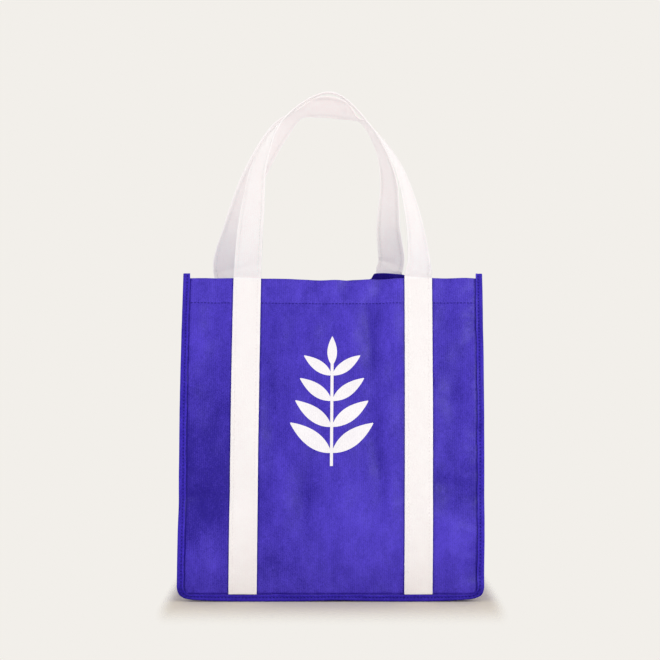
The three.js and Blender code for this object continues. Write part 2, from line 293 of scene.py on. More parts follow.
print("front hem middle at", on_panel(FRONT, 0, PANEL_HEIGHT, CLOTH).round(4))

# %% [markdown]
# ## Cutting and hanging cloth
# Each cloth piece starts as a flat grid, like the cut on the sewing table. Its UV map keeps the flat
# cut in metres, so the bond pattern of the cloth follows the piece round every fold. A place function
# then says where each point of the cut hangs. Solidify gives the cloth its real thickness.

# %% Helpers for cloth pieces
def even(start, stop, steps):
    return np.linspace(start, stop, steps + 1)


def only(piece):
    bpy.ops.object.select_all(action="DESELECT")
    piece.select_set(True)
    bpy.context.view_layer.objects.active = piece


def as_cut(across, along):
    return across, along


def cut_cloth(name, columns, rows, place, drawn=as_cut):
    """A flat grid of points across and along the cut, in metres, each hung by place(across, along).
    Where the grid isn't the cut itself, drawn(across, along) gives the flat place of each point."""
    bpy.ops.object.select_all(action="DESELECT")
    across_steps = len(columns) - 1
    along_steps = len(rows) - 1
    bpy.ops.mesh.primitive_grid_add(x_subdivisions=across_steps, y_subdivisions=along_steps, size=2)
    piece = bpy.context.object
    piece.name = name
    mesh = piece.data
    mesh.name = name
    flat = np.empty(len(mesh.vertices) * 3)
    mesh.vertices.foreach_get("co", flat)
    share = (flat.reshape(-1, 3)[:, :2] + 1) / 2
    across = np.asarray(columns)[np.rint(share[:, 0] * across_steps).astype(int)]
    along = np.asarray(rows)[np.rint(share[:, 1] * along_steps).astype(int)]
    mesh.vertices.foreach_set("co", place(across, along).ravel())
    corners = np.empty(len(mesh.loops), dtype=np.int32)
    mesh.loops.foreach_get("vertex_index", corners)
    cut = np.stack(drawn(across, along), axis=-1)[corners]
    mesh.uv_layers.active.data.foreach_set("uv", cut.ravel())
    mesh.uv_layers.active.name = "flat_cut"
    mesh.update()
    return piece


def finish_modifier(piece, modifier):
    only(piece)
    bpy.ops.object.modifier_apply(modifier=modifier.name)


def thicken(piece, thickness, rounding=0):
    solid = piece.modifiers.new("thickness", "SOLIDIFY")
    solid.thickness = thickness
    solid.offset = 0
    solid.use_even_offset = True
    finish_modifier(piece, solid)
    if rounding:
        bevel = piece.modifiers.new("soft edge", "BEVEL")
        bevel.width = rounding
        bevel.segments = 3
        bevel.limit_method = "ANGLE"
        bevel.angle_limit = math.radians(60)
        finish_modifier(piece, bevel)
    only(piece)
    bpy.ops.object.shade_smooth_by_angle(angle=math.radians(55))
    print(piece.name, "has", len(piece.data.polygons), "faces")


def belongs(piece, material, slot, *nodes):
    piece.data.materials.clear()
    piece.data.materials.append(material)
    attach(piece, "root")
    if nodes:
        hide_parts(*nodes)

# %% [markdown]
# ## Wiring materials
# All materials here are made of nodes. A node's inputs are given by name, and each is either a value or
# the output of another node. With these few helpers a material reads like a list of what it is made of.

# %% Helpers for nodes
def linear(*levels):
    """Levels of 0 to 255, as seen on a screen, as a linear colour."""
    shares = [level / 255 for level in levels]
    return [s / 12.92 if s <= 0.04045 else ((s + 0.055) / 1.055) ** 2.4 for s in shares] + [1]


def wire(tree, socket, value):
    """Links an output of another node to a socket, or sets the socket's own value."""
    if isinstance(value, bpy.types.NodeSocket):
        tree.links.new(value, socket)
    else:
        socket.default_value = value


def wire_all(tree, made, inputs):
    for name, value in inputs.items():
        wire(tree, made.inputs[name], value)


def node(tree, kind, inputs=None, **settings):
    made = tree.nodes.new(kind)
    for key, value in settings.items():
        setattr(made, key, value)
    wire_all(tree, made, inputs or {})
    return made


def maths(tree, operation, first, second):
    made = node(tree, "ShaderNodeMath", operation=operation)
    wire(tree, made.inputs[0], first)
    wire(tree, made.inputs[1], second)
    return made.outputs[0]


def mix_colours(tree, amount, first, second):
    mix = node(tree, "ShaderNodeMix", data_type="RGBA")
    for socket, value in ((0, amount), (6, first), (7, second)):
        wire(tree, mix.inputs[socket], value)
    return mix.outputs[2]


def bumpy(tree, shader, height, strength, distance):
    surface = node(tree, "ShaderNodeBump", {"Height": height, "Strength": strength, "Distance": distance})
    wire(tree, shader.inputs["Normal"], surface.outputs[0])


def new_material(name):
    material = bpy.data.materials.new(name)
    material.use_nodes = True
    return material, material.node_tree, material.node_tree.nodes["Principled BSDF"]

# %% [markdown]
# ## Bonded cloth
# Non-woven polypropylene is a mat of fine fibres, welded together in a grid of tiny pressed dots. The
# dots are smooth and a little darker, the fibres between them are soft and slightly lighter. One node
# group makes this pattern from the flat cut, and the blue cloth, the tape and the white strap each use it
# with their own values.

# %% Node group for bonded fibres
COLUMNS_PER_METRE = 476
ROWS_PER_METRE = 1050
FIBRES_PER_METRE = 430


def bonded_fibres():
    group = bpy.data.node_groups.new("bonded_fibres", "ShaderNodeTree")
    group.interface.new_socket("Flat Cut", in_out="INPUT", socket_type="NodeSocketVector")
    strength = group.interface.new_socket("Fibre Strength", in_out="INPUT", socket_type="NodeSocketFloat")
    strength.default_value = 0.5
    for name in ("Height", "Dots", "Fibres"):
        group.interface.new_socket(name, in_out="OUTPUT", socket_type="NodeSocketFloat")
    given = node(group, "NodeGroupInput")
    cut = given.outputs["Flat Cut"]
    per_metre = (COLUMNS_PER_METRE, ROWS_PER_METRE, 1)
    lattice = node(group, "ShaderNodeMapping", {"Vector": cut, "Scale": per_metre})
    dots = node(
        group,
        "ShaderNodeTexVoronoi",
        {"Vector": lattice.outputs[0], "Scale": 1, "Randomness": 0.5},
        voronoi_dimensions="2D",
        feature="F1",
    )
    raised = node(
        group,
        "ShaderNodeMapRange",
        {"Value": dots.outputs["Distance"], "From Min": 0.2, "From Max": 0.46},
        interpolation_type="SMOOTHSTEP",
    )
    fibres = node(
        group,
        "ShaderNodeTexNoise",
        {"Vector": cut, "Scale": FIBRES_PER_METRE, "Detail": 4, "Roughness": 0.6, "Distortion": 1.2},
        noise_dimensions="2D",
    )
    fibre_height = maths(group, "MULTIPLY", fibres.outputs[0], given.outputs["Fibre Strength"])
    height = maths(group, "ADD", raised.outputs[0], fibre_height)
    results = {"Height": height, "Dots": raised.outputs[0], "Fibres": fibres.outputs[0]}
    node(group, "NodeGroupOutput", results)
    return group


BONDED = bonded_fibres()
print("made node group", BONDED.name)

# %% [markdown]
# ## Cloth materials
# The blue cloth is never one flat blue: the mat is denser in some places than in others, so its tone
# drifts over a few centimetres, and it is finely speckled where the light catches single fibres. It is
# also painted lighter and darker from place to place, as painted light and shade, and it is lighter
# where the hem doubles it. The white strap is one cloth with two materials: its free handle lets light
# through, while the sewn legs lie on blue cloth and do so less; the handle is also painted pinker, as a
# painted tint of its shade.

# %% Materials made of bonded cloth
FIBRE_SHARE = 0.95
DOT_SHARE = 0.3
CLOUD_SHARE = 0.75
CLOUDS_PER_METRE = 80
DOT_SMOOTHNESS = 0.14
DEFAULT_FINISH = {"sheen": 0.1, "roughness": 0.46, "specular": 0.18, "glow": 0}


def cloth_tone(tree, cut, cloth, painted_shading_on):
    """How light the cloth is at each place, from 0 to 1."""
    stretched = node(tree, "ShaderNodeMapping", {"Vector": cut, "Scale": (1, 0.5, 1)})
    clouds = node(
        tree,
        "ShaderNodeTexNoise",
        {"Vector": stretched.outputs[0], "Scale": CLOUDS_PER_METRE, "Detail": 5, "Roughness": 0.65},
        noise_dimensions="2D",
    )
    speckle = maths(tree, "MULTIPLY", cloth.outputs["Fibres"], FIBRE_SHARE)
    pressed = maths(tree, "MULTIPLY", cloth.outputs["Dots"], DOT_SHARE)
    cloudy = maths(tree, "MULTIPLY", clouds.outputs[0], CLOUD_SHARE)
    tone = maths(tree, "ADD", maths(tree, "ADD", speckle, pressed), cloudy)
    # Painted light and shade, stored at the points of the mesh, shifts the tone.
    if painted_shading_on:
        painted_shading_lookup = node(tree, "ShaderNodeAttribute", attribute_name="painted_shading")
        tone = maths(tree, "ADD", tone, maths(tree, "SUBTRACT", painted_shading_lookup.outputs["Fac"], 0.5))
    spread = node(tree, "ShaderNodeMapRange", {"Value": tone, "From Min": 0.5, "From Max": 1.5})
    return spread.outputs[0]


def bonded_material(name, deep, light, doubled=None, painted_shading_on=False, **finish):
    finish = {**DEFAULT_FINISH, **finish}
    material, tree, shader = new_material(name)
    cut = node(tree, "ShaderNodeUVMap", uv_map="flat_cut").outputs[0]
    cloth = node(tree, "ShaderNodeGroup", node_tree=BONDED)
    wire(tree, cloth.inputs["Flat Cut"], cut)
    tone = cloth_tone(tree, cut, cloth, painted_shading_on)
    colour = mix_colours(tree, tone, deep, light)
    if doubled:
        layers = node(tree, "ShaderNodeAttribute", attribute_name="doubled")
        colour = mix_colours(tree, layers.outputs["Fac"], colour, mix_colours(tree, tone, *doubled))
    rough = node(tree, "ShaderNodeMapRange", {"Value": cloth.outputs["Dots"]})
    rough.inputs["To Min"].default_value = finish["roughness"] - DOT_SMOOTHNESS
    rough.inputs["To Max"].default_value = finish["roughness"]
    bumpy(tree, shader, cloth.outputs["Height"], 0.6, 0.12 * MM)
    values = {
        "Base Color": colour,
        "Roughness": rough.outputs[0],
        "Specular IOR Level": finish["specular"],
        "Sheen Weight": finish["sheen"],
        "Sheen Roughness": 0.4,
        "Subsurface Weight": finish["glow"],
        "Subsurface Radius": (1, 1, 1),
        "Subsurface Scale": 4 * MM,
    }
    wire_all(tree, shader, values)
    return material


BLUE_CLOTH = bonded_material(
    "blue_bonded_cloth",
    linear(34, 14, 140),
    linear(82, 62, 206),
    doubled=(linear(38, 18, 146), linear(88, 68, 212)),
    painted_shading_on=True,
)
BLUE_TAPE = bonded_material(
    "blue_binding_tape", linear(22, 4, 126), linear(70, 50, 200), painted_shading_on=True, specular=0.1
)
STRAP_TONES = (linear(252, 242, 242), linear(255, 251, 249))
# The handle's tones are pinker than the legs': a painted tint of the shade on the handle's faces.
HANDLE_SHADE_TINT_TONES = (linear(255, 228, 228), linear(255, 241, 239))
STRAP_FINISH = {"roughness": 0.8, "specular": 0.05, "sheen": 0}
WHITE_STRAP = bonded_material("white_strap_cloth", *STRAP_TONES, glow=0.3, **STRAP_FINISH)
SHADE_TINTED_HANDLE = bonded_material("white_handle_cloth_shade_tinted", *HANDLE_SHADE_TINT_TONES, glow=1, **STRAP_FINISH)
print("cloth materials:", BLUE_CLOTH.name, BLUE_TAPE.name, WHITE_STRAP.name, SHADE_TINTED_HANDLE.name)

# %% [markdown]
# ## The panels
# A panel is one cut with round bottom corners. At the top the cloth turns over and runs back down
# inside as the hem, so the mouth shows a soft folded edge and not a cut one.

# %% Fold and seam of a hem
FOLD = 0.4 * MM
GROOVE = 0.22 * MM
GROOVE_REACH = 0.9 * MM


def turned_over(run):
    """A run up the cut that folds over at the mouth, as a height and a step towards the inside."""
    start = PANEL_HEIGHT - FOLD
    arc = np.clip((run - start) / FOLD, 0, math.pi)
    past = np.maximum(0, run - start - math.pi * FOLD)
    up = np.minimum(run, start) + FOLD * np.sin(arc) - past
    return up, FOLD * (1 - np.cos(arc))


def hem_rows(first, run_length):
    """Rows along a cut that ends in a hem: even ones, and close ones at the fold and at the seam."""
    seam = PANEL_HEIGHT - HEM_SEAM
    near_seam = seam + even(-3, 3, 14) * MM
    near_fold = PANEL_HEIGHT - FOLD + even(-0.5, math.pi + 0.5, 8) * FOLD
    rows = np.concatenate([even(first, first + run_length, 150), near_seam, near_fold])
    return np.unique(rows.round(5))


print("a panel's hem needs", len(hem_rows(0, PANEL_HEIGHT + HEM_DEPTH)), "rows")

# %% [markdown]
# ## Marks on the cloth
# Sewing presses the cloth in beside the binding and the straps. These narrow hollows are modelled, and
# they are also painted a little darker, as painted shade. Values like this are stored at
# the points of the mesh, under a name that the material looks up.

# %% Hollows and marks
HOLLOW_REACH = 1.1 * MM
HOLLOW_DEPTH = 0.5 * MM
TAPE_EDGE = BAG_WIDTH / 2 - SEAM_WIDTH
STRAP_EDGES = [
    side * STRAP_SPACING / 2 + edge * STRAP_WIDTH / 2
    for side in (-1, 1)
    for edge in (-1, 1)
]


def mark(piece, name, value):
    """Stores value(across, along) at every point of a cut, for its material."""
    mesh = piece.data
    cut = np.empty(len(mesh.loops) * 2)
    mesh.uv_layers["flat_cut"].data.foreach_get("uv", cut)
    corners = np.empty(len(mesh.loops), dtype=np.int32)
    mesh.loops.foreach_get("vertex_index", corners)
    flat = np.empty((len(mesh.vertices), 2))
    flat[corners] = cut.reshape(-1, 2)
    stored = mesh.attributes.new(name, "FLOAT", "POINT")
    stored.data.foreach_set("value", value(flat[:, 0], flat[:, 1]).astype(np.float32))


def pressed_in(across, up):
    """One in the narrow hollows beside the binding and the straps, where sewing presses the cloth in."""
    inside_tape = np.minimum(TAPE_EDGE - np.abs(across), up - SEAM_WIDTH)
    hollow = bell((inside_tape - 0.5 * MM) / HOLLOW_REACH)
    for edge in STRAP_EDGES:
        hollow = np.maximum(hollow, 0.8 * bell((across - edge) / HOLLOW_REACH) * (up > LEG_START))
    return hollow


def fine_near(places, edges):
    """Adds close columns or rows at edges to even ones."""
    close = [edge + even(-3, 3, 10) * MM for edge in edges]
    return np.unique(np.concatenate([places, *close]).round(5))


print("strap edges at", [round(edge, 3) for edge in STRAP_EDGES])

# %% [markdown]
# ## Cutting the panels
# The grid of a panel is as wide as its cut, and its lower rows are drawn in to follow the round corners.
# Close columns and rows at the hollows keep them sharp, without making the whole grid fine.

# %% Front and back panels
# How the panels are painted: lighter where the cloth is raised, darker in the sewn hollows and on the
# inside of the bag, as painted light and shade.
PAINTED_LIGHT_HEIGHT = 5 * MM
HOLLOW_PAINTED_SHADE = 0.5
INSIDE_PAINTED_SHADE = 0.6
MARK_EDGE = 0.6 * MM


def half_width(up, inset):
    radius = CORNER - inset
    drop = np.clip(CORNER - up, 0, radius)
    return BAG_WIDTH / 2 - CORNER + np.sqrt(radius**2 - drop**2)


def panel_piece(name, panel, node_name):
    run_length = PANEL_HEIGHT + HEM_DEPTH - CLOTH_EDGE
    width = BAG_WIDTH - 2 * CLOTH_EDGE

    def place(across, run):
        up, inside = turned_over(run)
        groove = GROOVE * bell((up - PANEL_HEIGHT + HEM_SEAM) / GROOVE_REACH)
        pinched = np.where(inside > FOLD, groove, -groove)
        narrowed = across / (width / 2) * half_width(up, CLOTH_EDGE)
        hollow = HOLLOW_DEPTH * pressed_in(narrowed, up) * (inside == 0)
        return on_panel(panel, narrowed, up, CLOTH / 2 - inside + pinched - hollow)

    columns = fine_near(even(-width / 2, width / 2, 140), [-TAPE_EDGE, TAPE_EDGE, *STRAP_EDGES])
    rows = fine_near(hem_rows(CLOTH_EDGE, run_length), [SEAM_WIDTH])
    piece = cut_cloth(name, columns, rows, place)

    def doubled(across, along):
        return soft_step((along - PANEL_HEIGHT + HEM_SEAM) / MARK_EDGE)

    # Painted light and shade: raised cloth is painted lighter, the sewn hollows and the hem's inner layer
    # darker.
    def painted_shading(across, along):
        up = np.minimum(along, PANEL_HEIGHT)
        inside = soft_step((along - PANEL_HEIGHT) / MARK_EDGE)
        raised = soft_step(dented(panel, across, up) / PAINTED_LIGHT_HEIGHT)
        return raised - HOLLOW_PAINTED_SHADE * pressed_in(across, up) - INSIDE_PAINTED_SHADE * inside

    mark(piece, "doubled", doubled)
    mark(piece, "painted_shading", painted_shading)
    thicken(piece, CLOTH)
    belongs(piece, BLUE_CLOTH, "body_cloth", node_name)
    return piece, (width, run_length)


front_panel, panel_size = panel_piece("front_cloth", FRONT, "front_panel")
back_panel, panel_size = panel_piece("back_cloth", BACK, "back_panel")

# %% [markdown]
# ## The gusset
# One strip makes a side, the bottom and the other side. It is sewn to both panels along a line round the
# bag, 7 mm inside the bound edge. Places on the strip are counted along this seam line, from the middle
# of the bottom.

# %% Seam line round the bag
HALF_GUSSET = abs(float(on_panel(FRONT, 0, SEAM_WIDTH, GUSSET_MIDDLE)[1]))
FLAP = SEAM_WIDTH - CLOTH_EDGE
SEAM_CORNER = CORNER - SEAM_WIDTH
BOTTOM_HALF = BAG_WIDTH / 2 - CORNER
SIDE_RUN = PANEL_HEIGHT - CORNER
CORNER_RUN = SEAM_CORNER * math.pi / 2
HALF_RUN = BOTTOM_HALF + CORNER_RUN + SIDE_RUN


def seam_stop(run):
    """A run along the seam line from the middle of the bottom, negative to the left:
    its place on the front panel, and the direction in the panel's plane that leads out of the bag."""
    side = np.sign(run)
    distance = np.abs(run)
    angle = np.clip((distance - BOTTOM_HALF) / SEAM_CORNER, 0, math.pi / 2)
    climb = np.maximum(0, distance - BOTTOM_HALF - CORNER_RUN)
    across = np.minimum(distance, BOTTOM_HALF) + SEAM_CORNER * np.sin(angle)
    up = CORNER - SEAM_CORNER * np.cos(angle) + climb
    return side * across, up, side * np.sin(angle), -np.cos(angle)


def on_flap(panel, run, beyond, out):
    """A point outside the seam line, on the flap of the front panel or of its partner behind."""
    across, up, out_across, out_up = seam_stop(run)
    side = -1 if panel["behind"] else 1
    return on_panel(panel, side * (across + beyond * out_across), up + beyond * out_up, out)


print("the seam line is", round(2 * HALF_RUN, 3), "m long")

# %% [markdown]
# ## How the gusset folds
# The strip keeps its full width while the panels lean together, so its middle has to fold into the bag,
# deeper and deeper towards the mouth. How deep follows from its width by the rule of Pythagoras. The walls
# on both sides of the crease sag a little, with a few cross wrinkles.

# %% Fold of the gusset
CREASE_SOFTNESS = 0.05
WALL_SAG = 2.6 * MM
WALL_WRINKLE = 0.8 * MM
WALL_CREASE = 1.5 * MM
SAG_START = 40 * MM


def soft_peak(share):
    rounded = np.hypot(share, CREASE_SOFTNESS) - CREASE_SOFTNESS
    return 1 - rounded / (math.hypot(1, CREASE_SOFTNESS) - CREASE_SOFTNESS)


def gusset_middle(run, width):
    """The middle of the gusset's cloth: width is measured over the cloth from its centre crease."""
    share = np.clip(width / HALF_GUSSET, -1, 1)
    beyond = np.maximum(0, np.abs(width) - HALF_GUSSET)
    front_seam = on_flap(FRONT, run, 0, GUSSET_MIDDLE)
    back_seam = on_flap(BACK, run, 0, GUSSET_MIDDLE)
    span = back_seam - front_seam
    length = np.linalg.norm(span, axis=-1, keepdims=True)
    _, up, out_across, out_up = seam_stop(run)
    inward = np.stack([-out_across, np.zeros_like(run), -out_up], axis=-1)
    along = span / length
    inward = inward - along * (inward * along).sum(-1, keepdims=True)
    inward = inward / np.linalg.norm(inward, axis=-1, keepdims=True)
    spare = np.sqrt(np.maximum(0, HALF_GUSSET**2 - (length / 2) ** 2))
    fold = spare * (out_across**2)[..., None] * soft_peak(share)[..., None]
    sag = side_sag(run, up, share)[..., None]
    wall = front_seam + span * ((1 + share) / 2)[..., None] + inward * (fold + sag)
    flap = np.where(
        (width < 0)[..., None],
        on_flap(FRONT, run, beyond, GUSSET_MIDDLE),
        on_flap(BACK, run, beyond, GUSSET_MIDDLE),
    )
    return np.where((beyond > 0)[..., None], flap, wall)


def side_sag(run, up, share):
    """Soft hollows of the two side walls between crease and seams, with a few cross wrinkles."""
    on_side = np.clip((np.abs(run) - BOTTOM_HALF - CORNER_RUN) / SAG_START, 0, 1)
    hollow = np.sin(math.pi * np.abs(share)) ** 2
    side = np.where(run > 0, 1.0, 0.6)
    wrinkle = np.sin(up / (21 * MM) + 2.2 * share + side) * np.sin(up / (57 * MM) + side)
    crease = np.exp(-np.abs(up - PACKING_CREASE + 20 * MM * share * side) / CREASE_REACH)
    return on_side * hollow * (WALL_SAG * side + WALL_WRINKLE * wrinkle + WALL_CREASE * crease)


print("half the gusset is", round(HALF_GUSSET, 4), "m wide")

# %% [markdown]
# ## Cutting the gusset
# At both mouth ends the strip turns over into a hem like the panels'. The hem is a step along the cloth's
# own normal, which comes from the cross product of its two directions.

# %% Gusset strip
def gusset_place(width, run, lift=0.0):
    mouth = HALF_RUN - PANEL_HEIGHT
    up, inside = turned_over(np.maximum(np.abs(run) - mouth, 0))
    folded = np.where(np.abs(run) > mouth + CORNER, np.sign(run) * (mouth + up), run)
    step = 0.1 * MM
    lengthways = gusset_middle(folded + step, width) - gusset_middle(folded - step, width)
    crossways = gusset_middle(folded, width + step) - gusset_middle(folded, width - step)
    inner = np.cross(lengthways, crossways)
    inner = inner / np.linalg.norm(inner, axis=-1, keepdims=True)
    groove = GROOVE * bell((up - PANEL_HEIGHT + HEM_SEAM) / GROOVE_REACH)
    pinched = np.where(inside > FOLD, -groove, groove)
    return gusset_middle(folded, width) + inner * (inside + pinched - lift)[..., None]


GUSSET_HALF_WIDTH = HALF_GUSSET + FLAP
side_rows = hem_rows(0, PANEL_HEIGHT + HEM_DEPTH) + HALF_RUN - PANEL_HEIGHT
side_rows = side_rows[side_rows > BOTTOM_HALF - 2 * MM]
bottom_rows = even(-BOTTOM_HALF, BOTTOM_HALF, 90)
gusset_rows = np.unique(np.concatenate([-side_rows, bottom_rows, side_rows]).round(5))
gusset_columns = even(-GUSSET_HALF_WIDTH, GUSSET_HALF_WIDTH, 84)
gusset_size = (2 * GUSSET_HALF_WIDTH, 2 * (HALF_RUN + HEM_DEPTH))
gusset = cut_cloth("gusset_cloth", gusset_columns, gusset_rows, gusset_place)


def gusset_doubled(across, along):
    return soft_step((np.abs(along) - HALF_RUN + HEM_SEAM) / MARK_EDGE)


# On the gusset the stored tone is a little darker over the walls and lighter along the middle crease.
def gusset_crease_tone(across, along):
    return 0.42 + 0.2 * bell(across / (6 * MM))


mark(gusset, "doubled", gusset_doubled)
mark(gusset, "painted_shading", gusset_crease_tone)
thicken(gusset, CLOTH)
belongs(gusset, BLUE_CLOTH, "body_cloth", "gusset_strip")

# %% [markdown]
# ## The bindings
# The raw edges of panel and gusset are closed by a narrow tape folded over both. Its section is a
# flattened U. The tape runs a little past the mouth at both ends, which leaves the two small ears at
# the bag's top corners.

# %% Binding tapes
OUTER_LEG = CLOTH + GAP + TAPE / 2
INNER_LEG = GUSSET_OUTSIDE - GAP - TAPE / 2
TAPE_FOLD = SEAM_WIDTH - TAPE / 2


def tape_section():
    """The folded tape's middle line as distance beyond the seam line and outwards, from edge to edge."""
    middle = (OUTER_LEG + INNER_LEG) / 2
    half = (OUTER_LEG - INNER_LEG) / 2
    angles = np.linspace(-math.pi / 2, math.pi / 2, 9)
    turn = 1.2 * MM
    bight = [(TAPE_FOLD - turn + turn * math.cos(a), middle + half * math.sin(a)) for a in angles]
    inner = [(b, INNER_LEG) for b in np.linspace(SEAM_RELIEF, TAPE_FOLD - turn, 9)[:-1]]
    outer = [(b, OUTER_LEG) for b in np.linspace(TAPE_FOLD - turn, 0, 10)[1:]]
    return np.array(inner + bight + outer)


TAPE_SECTION = tape_section()
TAPE_WIDTHS = np.concatenate([[0], np.cumsum(np.linalg.norm(np.diff(TAPE_SECTION, axis=0), axis=1))])
TAPE_GROOVE = 0.45 * MM
SEAM_LINE = 2.6 * MM
PULL_REACH = 0.9 * MM
STITCH_PITCH = 3.4 * MM


def seam_pull(run):
    """How deep the thread pulls the tape in: most where the needle went through."""
    return TAPE_GROOVE * (0.65 + 0.35 * np.cos(2 * math.pi * run / STITCH_PITCH))


def on_tape(panel, width, run):
    """A point of the tape: width over the folded tape from its inner edge, and the run along the bag."""
    beyond = np.interp(width, TAPE_WIDTHS, TAPE_SECTION[:, 0])
    out = np.interp(width, TAPE_WIDTHS, TAPE_SECTION[:, 1])
    if panel["behind"]:
        run = -run
    wander = 0.25 * MM * np.sin(run / (11 * MM)) + 0.2 * MM * np.sin(run / (4.3 * MM) + 1)
    free_edge = np.clip(1 - beyond / TAPE_FOLD, 0, 1)
    pulled = seam_pull(run) * bell((beyond - SEAM_LINE) / PULL_REACH)
    outer_side = np.sign(out - (OUTER_LEG + INNER_LEG) / 2)
    return on_flap(panel, run, beyond - free_edge * wander, out - outer_side * pulled)


def binding_piece(name, panel, node_name):
    half_length = HALF_RUN + EAR

    def place(width, run):
        return on_tape(panel, width, run)

    # Painted light and shade on the tape: a little lighter overall, darker along its seam, towards its fold
    # and at the corners.
    def painted_shading(width, run):
        beyond = np.interp(width, TAPE_WIDTHS, TAPE_SECTION[:, 0])
        from_corner = np.abs(np.abs(run) - BOTTOM_HALF - CORNER_RUN / 2)
        at_seam = bell((beyond - SEAM_LINE) / PULL_REACH)
        at_fold = soft_step((beyond - 4 * MM) / MM)
        at_corner = bell(from_corner / (7 * MM))
        return 0.62 - 0.25 * at_seam - 0.15 * at_fold - 0.35 * at_corner

    piece = cut_cloth(name, TAPE_WIDTHS, even(-half_length, half_length, 1150), place)
    mark(piece, "painted_shading", painted_shading)
    thicken(piece, TAPE)
    belongs(piece, BLUE_TAPE, "binding_cloth", node_name)
    return piece, (float(TAPE_WIDTHS[-1]), 2 * half_length)


front_binding, tape_size = binding_piece("front_tape", FRONT, "front_binding")
back_binding, tape_size = binding_piece("back_tape", BACK, "back_binding")

# %% [markdown]
# ## The straps and handles
# Each strap is a doubled white strip, sewn flat on the panel from the bottom seam to the hem. Above the
# hem it is free: it leans in over the mouth, twists so that its inner edge comes outwards, and comes down
# to the other leg. Its middle line goes through a few given places, each with the strap's turn.

# %% Places on the handles
# Share of the way across, of the rise, and of the way to the other panel, and the turn in degrees
FRONT_LOOP = [
    (0, 0, 0, 0),
    (0.023, 0.349, 0.173, 26),
    (0.074, 0.647, 0.274, 58),
    (0.21, 0.864, 0.316, 85),
    (0.489, 1.008, 0.359, 86),
    (0.741, 0.81, 0.316, 86),
    (0.887, 0.609, 0.273, 70),
    (0.976, 0.334, 0.184, 54),
    (1.007, 0.08, 0.04, 30),
    (1, 0, 0, 0),
]
BACK_LOOP = [
    (0, 0, 0, 0),
    (-0.012, 0.08, 0.04, 7),
    (0.013, 0.283, 0.157, 31),
    (0.014, 0.548, 0.25, 54),
    (0.063, 0.715, 0.306, 75),
    (0.16, 0.862, 0.328, 84),
    (0.208, 0.885, 0.331, 88),
    (0.304, 0.936, 0.329, 50),
    (0.439, 0.95, 0.336, 47),
    (0.551, 0.914, 0.347, 75),
    (0.673, 0.82, 0.332, 49),
    (0.842, 0.559, 0.283, 37),
    (0.957, 0.263, 0.171, 26),
    (1.014, 0.08, 0.04, 6),
    (1, 0, 0, 0),
]
LEG = STRAP_SPACING / 2
LEG_RUN = PANEL_HEIGHT - LEG_START
print("places on the handles:", len(FRONT_LOOP), "in front and", len(BACK_LOOP), "behind")

# %% [markdown]
# ## A line through the places
# A Catmull-Rom spline goes through every place, so a place can be moved without guessing where the curve
# will end up. Near the hem the line is eased over to where the leg is really sewn on the dented panel,
# and it sets off in the leg's direction.

# %% Middle line of a handle
LOOP_EASE = 0.3
LEAD_IN = 12.5 * MM


def spline(points, places, spread):
    """Points on a Catmull-Rom spline: places count from its first point, spread 0.5 suits uneven points."""
    points = np.asarray(points, float)
    step = np.clip(np.floor(places).astype(int), 0, len(points) - 2)
    share = (places - step)[:, None]
    padded = np.vstack([2 * points[0] - points[1], points, 2 * points[-1] - points[-2]])
    p0, p1, p2, p3 = (padded[step + k] for k in range(4))
    t0, t1, t2 = (
        np.maximum(np.linalg.norm(b - a, axis=1, keepdims=True), 1e-9) ** spread
        for a, b in ((p0, p1), (p1, p2), (p2, p3))
    )
    start = ((p1 - p0) / t0 - (p2 - p0) / (t0 + t1) + (p2 - p1) / t1) * t1
    end = ((p2 - p1) / t1 - (p3 - p1) / (t1 + t2) + (p3 - p2) / t2) * t1
    square, cube = share**2, share**3
    return (
        (2 * cube - 3 * square + 1) * p1
        + (cube - 2 * square + share) * start
        + (3 * square - 2 * cube) * p2
        + (cube - square) * end
    )


def handle_line(panel, loop, samples=400):
    """Middle points of a handle from hem to hem, and the direction to the strap's inner edge at each."""
    loop = np.asarray(loop, float)
    smooth = {**panel, "dents": [], "ripple": (0, 1, 1, 0), "plain": True}
    left, right = on_panel(smooth, np.array([-LEG, LEG]), PANEL_HEIGHT, STRAP_MIDDLE)
    sewn_left, sewn_right = on_panel(panel, np.array([-LEG, LEG]), PANEL_HEIGHT, STRAP_MIDDLE)
    depth = 2 * abs(float(on_panel(FRONT, 0, PANEL_HEIGHT, STRAP_MIDDLE)[1]))
    to_mouth = np.array([0, -1 if panel["behind"] else 1, 0])
    stations = (
        left
        + loop[:, :1] * (right - left)
        + loop[:, 1:2] * HANDLE_RISE * np.array([0, 0, 1])
        + loop[:, 2:3] * depth * to_mouth
    )
    near_hem = np.clip(1 - loop[:, 1:2] / LOOP_EASE, 0, 1)
    stations = stations + near_hem * np.where(loop[:, :1] < 0.5, sewn_left - left, sewn_right - right)
    before, after = on_panel(panel, np.array([-LEG, LEG]), PANEL_HEIGHT - LEAD_IN, STRAP_MIDDLE)
    places = np.linspace(0, len(loop) - 1, samples)
    middle = spline(np.vstack([before, stations, after]), places + 1, 0.5)
    turn = np.radians(spline(loop[:, 3:], places, 0))
    along = np.gradient(middle, axis=0)
    along /= np.linalg.norm(along, axis=1, keepdims=True)
    outward = -to_mouth - along * (along @ -to_mouth)[:, None]
    outward /= np.linalg.norm(outward, axis=1, keepdims=True)
    inward = np.cross(along, outward)
    return middle, np.cos(turn) * inward + np.sin(turn) * outward


print("front handle's highest point at", handle_line(FRONT, FRONT_LOOP)[0][:, 2].max().round(3), "m")

# %% [markdown]
# ## Hanging the straps
# A strap is one long grid. Its ends lie on the panel, and between them it rides along the handle's line.
# Just above the hem it has the small bend that a handle keeps where it leaves its panel.

